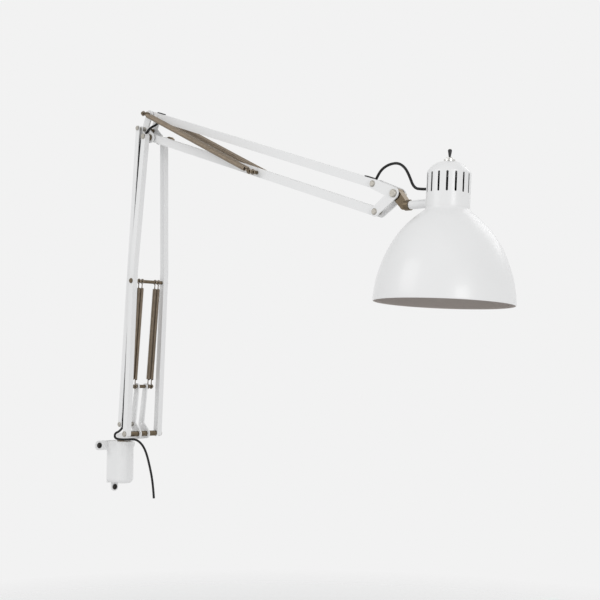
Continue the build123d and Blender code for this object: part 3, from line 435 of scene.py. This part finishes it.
def lathe(bm, outline, segments, matrix):
    """Spins an outline of (radius, height) about the matrix's z axis and returns its new faces."""
    known = set(bm.faces)
    verts = [bm.verts.new((radius, 0.0, height)) for radius, height in outline]
    edges = [bm.edges.new(pair) for pair in zip(verts, verts[1:])]
    bmesh.ops.spin(
        bm,
        geom=verts + edges,
        cent=(0, 0, 0),
        axis=(0, 0, 1),
        angle=2 * math.pi,
        steps=segments,
        use_merge=True,
    )
    fresh = [face for face in bm.faces if face not in known]
    corners = list(dict.fromkeys(vert for face in fresh for vert in face.verts))
    bmesh.ops.transform(bm, matrix=matrix, verts=corners)
    return fresh


# ---------------------------------------------------------------- operators


class LAMP_OT_finishes(bpy.types.Operator):
    """Makes the finishes and gives them to the frame's own parts"""

    bl_idname = "lamp.finishes"
    bl_label = "Finishes"

    def execute(self, context):
        make_finishes()
        wanted = {part: key for key, parts in part_finishes.items() for part in parts.split()}
        for name, node in nodes.items():
            finish = finishes[wanted.get(name, "white_paint")]
            if not node.material_slots:
                node.data.materials.append(finish)
            for slot in node.material_slots:
                slot.material = finish
        return {"FINISHED"}


class LAMP_OT_springs(bpy.types.Operator):
    """Winds the four lower and the four upper balance springs"""

    bl_idname = "lamp.springs"
    bl_label = "Balance springs"

    def execute(self, context):
        size = sizes()
        # each group's springs along y in mm, their coil, their two pins and the bodies of these
        lower = ((-17.9, -11.7, 11.7, 17.9), size.lower_coil, post_foot, spring_rod)
        upper = ((-19.5, -12.8, 12.8, 19.5), size.upper_coil, knee_top, upper_rest)
        groups = (
            ("lower", *lower, "base_yoke", "lower_arm"),
            ("upper", *upper, "knee", "upper_arm"),
        )
        for name, sides, coil, start, end, fixed, moving in groups:
            for number, y in enumerate(sides, 1):
                pins = start + mm(0, y, 0), end + mm(0, y, 0)
                bm = bmesh.new()
                close_wound_spring(bm, *pins, coil, size.spring_wire, size.hook, size.shank)
                coiled = f"{name}_coil_{number}"
                piece = piece_from(coiled, bm, None, ["spring_steel"], 180)
                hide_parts(nearest_spring(name, y))
                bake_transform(piece)
        return {"FINISHED"}


def nearest_spring(name, y):
    """The CAD spring of that group whose middle is nearest to y."""
    middles = {}
    for number in (1, 2, 3, 4):
        low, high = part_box(f"{name}_spring_{number}")
        middles[f"{name}_spring_{number}"] = (low[1] + high[1]) / 2
    return min(middles, key=lambda key: abs(middles[key] - y / 1000.0))


# the wire's section, the steps of one turn, of the bend into a hook and of its eye
wire_sides = 6
turn_steps = 12
bend_steps = 8
eye_steps = 26
eye_angle = math.radians(318)
# pitch of the turns against the wire's thickness, and how near two turns' corners are to merge
pitch_ratio = 1.015
turn_gap = 0.00002


def wire_ring(bm, wire, place, turn):
    """The section of a wire, a ring of corners and edges, for spin to draw out."""
    matrix = Matrix.Translation(place) @ turn
    made = bmesh.ops.create_circle(bm, segments=wire_sides, radius=wire / 2, matrix=matrix)
    verts = made["verts"]
    return verts + list(dict.fromkeys(edge for vert in verts for edge in vert.link_edges))


def close_wound_spring(bm, start, end, coil, wire, hook, shank):
    """A close-wound tension spring between two pins along y: the coil, and at each end a bend, a
    shank and a hook's eye. It is wound along z from the first pin, and then put in its place."""
    along = (end - start).normalized()
    side = Vector((0, 1, 0))
    place = Matrix((side.cross(along), side, along)).transposed().to_4x4()
    place.translation = start
    length = (end - start).length
    centre = (coil - wire) / 2
    low = hook + shank
    turns = int((length - 2 * low) / (wire * pitch_ratio))
    pitch = (length - 2 * low) / turns
    upright = Matrix.Rotation(math.pi / 2, 4, "X")
    level = Matrix.Rotation(math.pi / 2, 4, "Y")
    bmesh.ops.spin(
        bm,
        geom=wire_ring(bm, wire, (centre, 0, low), upright),
        cent=(0, 0, low),
        axis=(0, 0, 1),
        dvec=(0, 0, pitch / turn_steps),
        angle=2 * math.pi,
        steps=turn_steps,
    )
    one_turn = list(bm.verts) + list(bm.edges) + list(bm.faces)
    for number in range(1, turns):
        made = bmesh.ops.duplicate(bm, geom=one_turn)["geom"]
        fresh = [part for part in made if isinstance(part, bmesh.types.BMVert)]
        bmesh.ops.translate(bm, vec=(0, 0, pitch * number), verts=fresh)
    bmesh.ops.remove_doubles(bm, verts=bm.verts, dist=turn_gap)
    for pin, inwards, coil_end in ((0.0, 1.0, low), (length, -1.0, length - low)):
        bmesh.ops.spin(
            bm,
            geom=wire_ring(bm, wire, (centre, 0, coil_end), upright),
            cent=(centre / 2, 0, coil_end),
            axis=(0, 0, 1),
            angle=math.pi,
            steps=bend_steps,
        )
        neck = pin + inwards * hook
        bmesh.ops.create_cone(
            bm,
            segments=wire_sides,
            radius1=wire / 2,
            radius2=wire / 2,
            depth=abs(coil_end - neck),
            cap_ends=True,
            matrix=Matrix.Translation((0, 0, (coil_end + neck) / 2)),
        )
        bmesh.ops.spin(
            bm,
            geom=wire_ring(bm, wire, (0, 0, neck), level),
            cent=(0, 0, pin),
            axis=(0, 1, 0),
            angle=eye_angle,
            steps=eye_steps,
        )
    open_edges = [edge for edge in bm.edges if edge.is_boundary]
    bmesh.ops.holes_fill(bm, edges=open_edges, sides=wire_sides + 2)
    bmesh.ops.recalc_face_normals(bm, faces=bm.faces)
    bmesh.ops.transform(bm, matrix=place, verts=bm.verts)


class LAMP_OT_shade(bpy.types.Operator):
    """Spins the bell-shaped shade with its rolled rim and its lining"""

    bl_idname = "lamp.shade"
    bl_label = "Shade"

    # outer radius and height under the head's centre, in mm, from the neck to the rim
    bell = (
        (25.6, -8.0), (25.75, -9.6), (26.6, -11.0), (30.66, -14.0), (34.46, -17.0),
        (38.01, -20.0), (41.32, -23.0), (44.41, -26.0), (47.28, -29.0), (49.96, -32.0),
        (52.45, -35.0), (54.77, -38.0), (56.92, -41.0), (60.18, -46.0), (63.07, -51.0),
        (65.66, -56.0), (67.97, -61.0), (70.08, -66.0), (72.02, -71.0), (73.8, -76.0),
        (75.4, -81.0), (76.82, -86.0), (78.05, -91.0), (79.06, -96.0), (79.87, -101.0),
        (80.47, -106.0), (80.85, -111.0), (81.0, -115.4),
    )
    # the rim's edge rounds over from the wall to its lip
    wall_end = -0.1164
    round_height = -0.1169
    round_inset = 0.0002
    lip = -0.117
    segments = 128

    def execute(self, context):
        wall = sizes().shade_wall
        outer = [(radius / 1000, height / 1000) for radius, height in self.bell]
        rim = outer[-1][0]
        outer += [
            (rim, self.wall_end),
            (rim - self.round_inset, self.round_height),
            (rim - wall / 2, self.lip),
        ]
        inner = [
            outer[-1],
            (rim - wall + self.round_inset, self.round_height),
            (rim - wall, self.wall_end),
        ]
        # the lining stands off the bell by the wall's thickness, square to its slant
        for place in range(len(self.bell) - 1, 0, -1):
            before, here = self.bell[place - 1], self.bell[place]
            run, drop = here[0] - before[0], before[1] - here[1]
            slant = math.hypot(run, drop)
            radius = here[0] / 1000 - wall * drop / slant
            inner.append((radius, here[1] / 1000 - wall * run / slant))
        inner.append((self.bell[0][0] / 1000 - wall, self.bell[0][1] / 1000))
        bm = bmesh.new()
        lathe(bm, outer, self.segments, head_matrix())
        for face in lathe(bm, inner + [outer[0]], self.segments, head_matrix()):
            face.material_index = 1
        close_up(bm)
        # the lining's faces take the finish with painted shade
        paints = ["white_paint", "lining"]
        piece = piece_from("spun_shade", bm, "head", paints, 40)
        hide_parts("shade")
        return {"FINISHED"}


class LAMP_OT_wall_screws(bpy.types.Operator):
    """Sets the three round-headed wall screws, each with a cross recess"""

    bl_idname = "lamp.wall_screws"
    bl_label = "Wall screws"

    # where the screws stand on the plate, y and z in mm, and how thick the plate is
    holes = ((-29, 19), (29, 19), (0, -43))
    plate = 2.0
    # radius and height of the domed head, inside its edge
    dome = ((0.0, 0.0026), (0.0012, 0.00252), (0.0024, 0.00215), (0.0034, 0.0015))
    edge = 0.0005
    # one blade of the cross recess, its height, and how much further each screw is turned, in rad
    blade = (0.0046, 0.0008, 0.003)
    blade_height = 0.0028
    tightened = 0.4
    segments = 40

    def execute(self, context):
        radius = sizes().screw_head
        outline = [*self.dome, (radius, self.edge), (radius, 0.0), (0.0, 0.0)]
        for number, (y, z) in enumerate(self.holes, 1):
            bm = bmesh.new()
            lathe(bm, outline, self.segments, Matrix.Identity(4))
            close_up(bm)
            head = piece_from(f"wall_screw_{number}", bm, None, ["screw_steel"])
            cutter = bmesh.new()
            for turn in (0.0, math.pi / 2):
                verts = bmesh.ops.create_cube(cutter, size=1.0)["verts"]
                turned = Matrix.Rotation(turn + self.tightened * number, 3, "Z")
                bmesh.ops.scale(cutter, vec=self.blade, verts=verts)
                bmesh.ops.rotate(cutter, cent=(0, 0, 0), matrix=turned, verts=verts)
                bmesh.ops.translate(cutter, vec=(0, 0, self.blade_height), verts=verts)
            carve(head, cutter)
            outwards = Matrix.Rotation(math.pi / 2, 4, "Y")
            head.data.transform(Matrix.Translation(mm(self.plate, y, z)) @ outwards)
            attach(head, "wall_bracket")
        return {"FINISHED"}


def carve(piece, cutter):
    """Cuts the cutter's boxes out of a piece with an exact boolean, and keeps only the result."""
    mesh = bpy.data.meshes.new("cutter")
    cutter.to_mesh(mesh)
    cutter.free()
    tool = bpy.data.objects.new("cutter", mesh)
    bpy.context.scene.collection.objects.link(tool)
    change = piece.modifiers.new("recess", "BOOLEAN")
    change.operation = "DIFFERENCE"
    change.solver = "EXACT"
    change.use_self = True
    change.object = tool
    bpy.context.view_layer.update()
    evaluated = piece.evaluated_get(bpy.context.evaluated_depsgraph_get())
    result = bpy.data.meshes.new_from_object(evaluated)
    piece.modifiers.clear()
    piece.data = result
    bpy.data.objects.remove(tool)


class LAMP_OT_knob(bpy.types.Operator):
    """Models the fluted clamping knob at the knee"""

    bl_idname = "lamp.knob"
    bl_label = "Clamping knob"

    depth = 0.009
    taper = 0.94
    # of each five of the forty corners round the knob, two lie in a flute
    segments = 40
    flute_every = 5
    flute_wide = 2
    flute_scale = 0.86
    # an edge is on a rim where its faces meet at more than this angle, in rad
    rim_angle = 1.0
    rim_bevel = 0.0006

    def execute(self, context):
        radius = sizes().knob
        bm = bmesh.new()
        bmesh.ops.create_cone(
            bm,
            segments=self.segments,
            radius1=radius,
            radius2=radius * self.taper,
            depth=self.depth,
            cap_ends=True,
            cap_tris=False,
        )
        rims = [
            edge
            for edge in bm.edges
            if len(edge.link_faces) == 2 and edge.calc_face_angle(0.0) > self.rim_angle
        ]
        # the cone's corners come in pairs, one on each rim
        flutes = [
            vert
            for number, vert in enumerate(bm.verts)
            if (number // 2) % self.flute_every < self.flute_wide
        ]
        bmesh.ops.scale(bm, vec=(self.flute_scale, self.flute_scale, 1.0), verts=flutes)
        bmesh.ops.bevel(
            bm,
            geom=rims,
            offset=self.rim_bevel,
            offset_type="OFFSET",
            affect="EDGES",
            segments=2,
            profile=0.5,
            material=-1,
        )
        close_up(bm)
        low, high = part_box("knee_knob")
        place = Matrix.Translation((knee_pivot.x, (low[1] + high[1]) / 2, knee_pivot.z))
        turn = Matrix.Rotation(-math.pi / 2, 4, "X")
        bmesh.ops.transform(bm, matrix=place @ turn, verts=bm.verts)
        piece = piece_from("fluted_knob", bm, "knee", ["spacer_steel"])
        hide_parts("knee_knob")
        return {"FINISHED"}


# each run of cord: its body, or the two bodies that it bends between, the CAD node it stands for,
# its length in metres, its far end, how it lies, and its route in mm
cord_runs = {
    "cord_tail_end": (
        "base_yoke", "cord_tail", 0.0868, "bare", "hanging",
        (
            (71.5, -11.5, 27.55), (75, -8.5, 24.5), (80, -4, 13), (84, 0, -8),
            (87, 3.8, -32), (87.4, 5.6, -54),
        ),
    ),
    "cord_foot": (
        "base_yoke", "cord_base_loop", 0.0867, "object", "loose",
        (
            (56.4, -27.8, 71.4), (56.2, -28.0, 65.4), (57.5, -28.2, 57.3), (58.0, -28.4, 48.3),
            (49.5, -29.2, 41), (40.2, -29.6, 38.4), (38.2, -28.8, 31.6), (45, -26, 29.4),
            (57, -19.5, 29.6), (68, -14.5, 30.6), (71.5, -11.5, 27.55),
        ),
    ),
    "cord_in_link": (
        "lower_link", "cord_link_run", 0.3711, "object", "taut",
        ((73.9, -19.5, 442.0), (65.2, -23.7, 256.7), (56.4, -27.8, 71.4)),
    ),
    "cord_knee": (
        "knee", "cord_knee_loop", 0.0651, "object", "loose",
        (
            (101.06, 0, 491.8), (90.8, -1.6, 486.3), (87.6, -9.3, 481.8), (80.7, -11, 475.2),
            (79.25, -18.2, 464.6), (75.8, -19.2, 455.4), (74.2, -19.3, 448.0),
            (73.9, -19.5, 442.0),
        ),
    ),
    "cord_in_bar": (
        "upper_link", "cord_upper_run", 0.411, "object", "taut",
        ((106.7, 0, 495.9), (301.0, 0, 429.0), (495.3, 0, 362.1)),
    ),
    "cord_arch": (
        ("head_fork", "knuckle"), "cord_head_loop_a", 0.0454, "object", "loose",
        (
            (513.8, 0, 360.5), (518.0, 0, 367.1), (526.3, 0, 373.0), (537.3, 0, 375.7),
            (548.3, 0, 375.1), (553.05, 0, 372.05),
        ),
    ),
    "cord_drop": (
        ("knuckle", "head"), "cord_head_loop_b", 0.054, "object", "loose",
        (
            (553.05, 0, 372.05), (557.8, 0, 369.0), (564.3, 0, 359.0), (571.3, 0.3, 342.6),
            (584.0, 0.4, 340.0), (591.0, 0.6, 339.6),
        ),
    ),
}


class LAMP_OT_cords(bpy.types.Operator):
    """Lays the mains cord: its loose tail, its loops at the joints and its runs along the bars"""

    bl_idname = "lamp.cords"
    bl_label = "Cord"

    def execute(self, context):
        thick = sizes().cord
        for name, (body, node, length, far_end, lay, route) in cord_runs.items():
            points = [mm(*point) for point in route]
            curve = bpy.data.curves.new(name, "CURVE")
            curve.dimensions = "3D"
            spline = curve.splines.new("NURBS")
            spline.points.add(len(points) - 1)
            for knot, point in zip(spline.points, points):
                knot.co = (*point, 1.0)
            spline.order_u = 3
            spline.use_endpoint_u = True
            spline.resolution_u = 14
            run = bpy.data.objects.new(name, curve)
            bpy.context.scene.collection.objects.link(run)
            if isinstance(body, str):
                round_off(curve, thick)
                curve.materials.append(finishes["black_cord"])
                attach(run, body)
                piece = run
            else:
                # a run that bends between two bodies is made a mesh tube, which rides on neither
                # body
                line = bpy.data.meshes.new_from_object(run)
                round_off(curve, thick)
                tube = bpy.data.meshes.new_from_object(run)
                bpy.data.objects.remove(run)
                bm = bmesh.new()
                bm.from_mesh(tube)
                close_up(bm)
                piece = piece_from(name, bm, None, ["black_cord"], crease=60)
                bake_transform(piece)
            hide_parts(node)
        return {"FINISHED"}


def round_off(curve, thick):
    """Gives a curve its round section and closes its ends."""
    curve.bevel_depth = thick / 2
    curve.bevel_resolution = 4
    curve.use_fill_caps = True


class LAMP_OT_stage(bpy.types.Operator):
    """Sets the pale floor, the backdrop, the soft lights and the camera"""

    bl_idname = "lamp.stage"
    bl_label = "Stage"

    # the floor's middle and radius, and the distances between which it fades out
    floor_middle = (0.33, 0.0, -0.30)
    floor_radius = 1.6
    fade_start = 0.45
    fade_end = 1.1

    # each soft box: its place, the point that it faces, its side in metres and its watts
    soft_boxes = {
        "key": ((-0.5, -2.3, 1.5), (0.3, 0.0, 0.25), 1.4, 15.0),
        "side": ((2.6, -0.9, 0.5), (0.45, 0.0, 0.25), 0.8, 11.0),
        "back": ((0.6, 2.0, 1.6), (0.3, 0.0, 0.25), 1.2, 6.0),
    }
    fill_colour = (0.99, 0.995, 1.0, 1.0)
    fill_strength = 0.66

    # the camera's place, its turns in degrees, and its focal length over the picture's width
    camera_place = (1.4565, -1.0876, 0.1231)
    camera_pan = 44.564
    camera_tilt = 3.592
    camera_roll = 0.2916
    focal_ratio = 1201.7 / 600.0
    sensor = 36.0

    def execute(self, context):
        scene = bpy.context.scene
        backdrop = tuple(colours().backdrop)
        self.lay_floor(scene, backdrop)
        self.hang_backdrop(scene, backdrop)
        for name, (place, aim, size, watts) in self.soft_boxes.items():
            lamp = bpy.data.lights.new(name, "AREA")
            lamp.size = size
            lamp.energy = watts
            light = bpy.data.objects.new(name, lamp)
            scene.collection.objects.link(light)
            light.location = place
            facing = (Vector(aim) - Vector(place)).to_track_quat("-Z", "Y")
            light.rotation_euler = facing.to_euler()
        self.set_camera(scene)
        scene.view_settings.view_transform = "Standard"
        return {"FINISHED"}

    def lay_floor(self, scene, colour):
        """Lays a round floor of matt studio paint, with a faint roller texture 2.5 mm across,
        which fades out towards its edge."""
        bm = bmesh.new()
        bmesh.ops.create_circle(bm, segments=96, radius=self.floor_radius, cap_ends=True)
        bmesh.ops.translate(bm, vec=self.floor_middle, verts=bm.verts)
        mesh = bpy.data.meshes.new("floor")
        bm.to_mesh(mesh)
        bm.free()
        floor = bpy.data.objects.new("floor", mesh)
        scene.collection.objects.link(floor)

        layers = (
            ("Base Color", 2.5, 2.0, shaded(colour, 0.99), colour),
            ("Normal", 2.5, 2.0, 0.05, 0.0001),
        )
        material = layered("matt_studio_floor", layers, Roughness=0.8)
        tree, shader, place = opened(material)
        home = [-c for c in self.floor_middle]
        centred = put(tree, "ShaderNodeMapping", [(place, "Vector")], Location=home)
        reach = put(tree, "ShaderNodeVectorMath", [(centred.outputs[0], 0)], operation="LENGTH")
        fade = put(
            tree,
            "ShaderNodeMapRange",
            [(reach.outputs["Value"], "Value")],
            From_Min=self.fade_start,
            From_Max=self.fade_end,
        )
        clear = put(tree, "ShaderNodeBsdfTransparent")
        feeds = [(fade.outputs["Result"], 0), (shader.outputs[0], 1), (clear.outputs[0], 2)]
        both = put(tree, "ShaderNodeMixShader", feeds)
        tree.links.new(both.outputs[0], tree.nodes["Material Output"].inputs["Surface"])
        mesh.materials.append(material)

    def hang_backdrop(self, scene, colour):
        """Makes the world: the pale backdrop for what looks at it, and a weaker fill light."""
        world = bpy.data.worlds.new("studio")
        scene.world = world
        world.use_nodes = True
        tree = world.node_tree
        tree.nodes.clear()
        rays = put(tree, "ShaderNodeLightPath").outputs
        seen = rays["Is Camera Ray"]
        for kind in ("Is Glossy Ray", "Is Transmission Ray"):
            feeds = [(seen, 0), (rays[kind], 1)]
            seen = put(tree, "ShaderNodeMath", feeds, operation="MAXIMUM").outputs[0]
        shown = put(tree, "ShaderNodeBackground", Color=(*colour, 1.0), Strength=1.0)
        fill = put(
            tree, "ShaderNodeBackground", Color=self.fill_colour, Strength=self.fill_strength
        )
        feeds = [(seen, 0), (fill.outputs[0], 1), (shown.outputs[0], 2)]
        both = put(tree, "ShaderNodeMixShader", feeds)
        put(tree, "ShaderNodeOutputWorld", [(both.outputs[0], "Surface")])

    def set_camera(self, scene):
        """Stands the camera where the photograph was taken from."""
        lens = bpy.data.cameras.new("camera")
        lens.sensor_width = self.sensor
        lens.lens = self.focal_ratio * self.sensor
        lens.clip_start = 0.01
        camera = bpy.data.objects.new("camera", lens)
        scene.collection.objects.link(camera)
        camera.matrix_world = (
            Matrix.Translation(self.camera_place)
            @ Matrix.Rotation(math.radians(self.camera_pan), 4, "Z")
            @ Matrix.Rotation(math.radians(90.0 + self.camera_tilt), 4, "X")
            @ Matrix.Rotation(math.radians(self.camera_roll), 4, "Z")
        )
        scene.camera = camera


class LAMP_PT_pieces(bpy.types.Panel):
    """Lists the lamp's pieces, sizes and colours"""

    bl_label = "Sprung wall lamp"
    bl_idname = "LAMP_PT_pieces"
    bl_space_type = "VIEW_3D"
    bl_region_type = "UI"
    bl_category = "Lamp"

    def draw(self, context):
        layout = self.layout
        for settings in (sizes(), colours()):
            box = layout.box()
            for key in settings.bl_rna.properties.keys():
                if key not in ("rna_type", "name"):
                    box.prop(settings, key)
        for step in steps:
            layout.operator(step.bl_idname)


steps = (
    LAMP_OT_finishes,
    LAMP_OT_springs,
    LAMP_OT_shade,
    LAMP_OT_wall_screws,
    LAMP_OT_knob,
    LAMP_OT_cords,
    LAMP_OT_stage,
)
classes = (LampSizes, LampColours, *steps, LAMP_PT_pieces)


def register():
    for kind in classes:
        bpy.utils.register_class(kind)
    bpy.types.Scene.lamp_sizes = bpy.props.PointerProperty(type=LampSizes)
    bpy.types.Scene.lamp_colours = bpy.props.PointerProperty(type=LampColours)


def unregister():
    del bpy.types.Scene.lamp_colours
    del bpy.types.Scene.lamp_sizes
    for kind in reversed(classes):
        bpy.utils.unregister_class(kind)


def main():
    register()
    bpy.ops.lamp.finishes()
    bpy.ops.lamp.springs()
    bpy.ops.lamp.shade()
    bpy.ops.lamp.wall_screws()
    bpy.ops.lamp.knob()
    bpy.ops.lamp.cords()
    bpy.ops.lamp.stage()


if __name__ == "__main__":
    main()
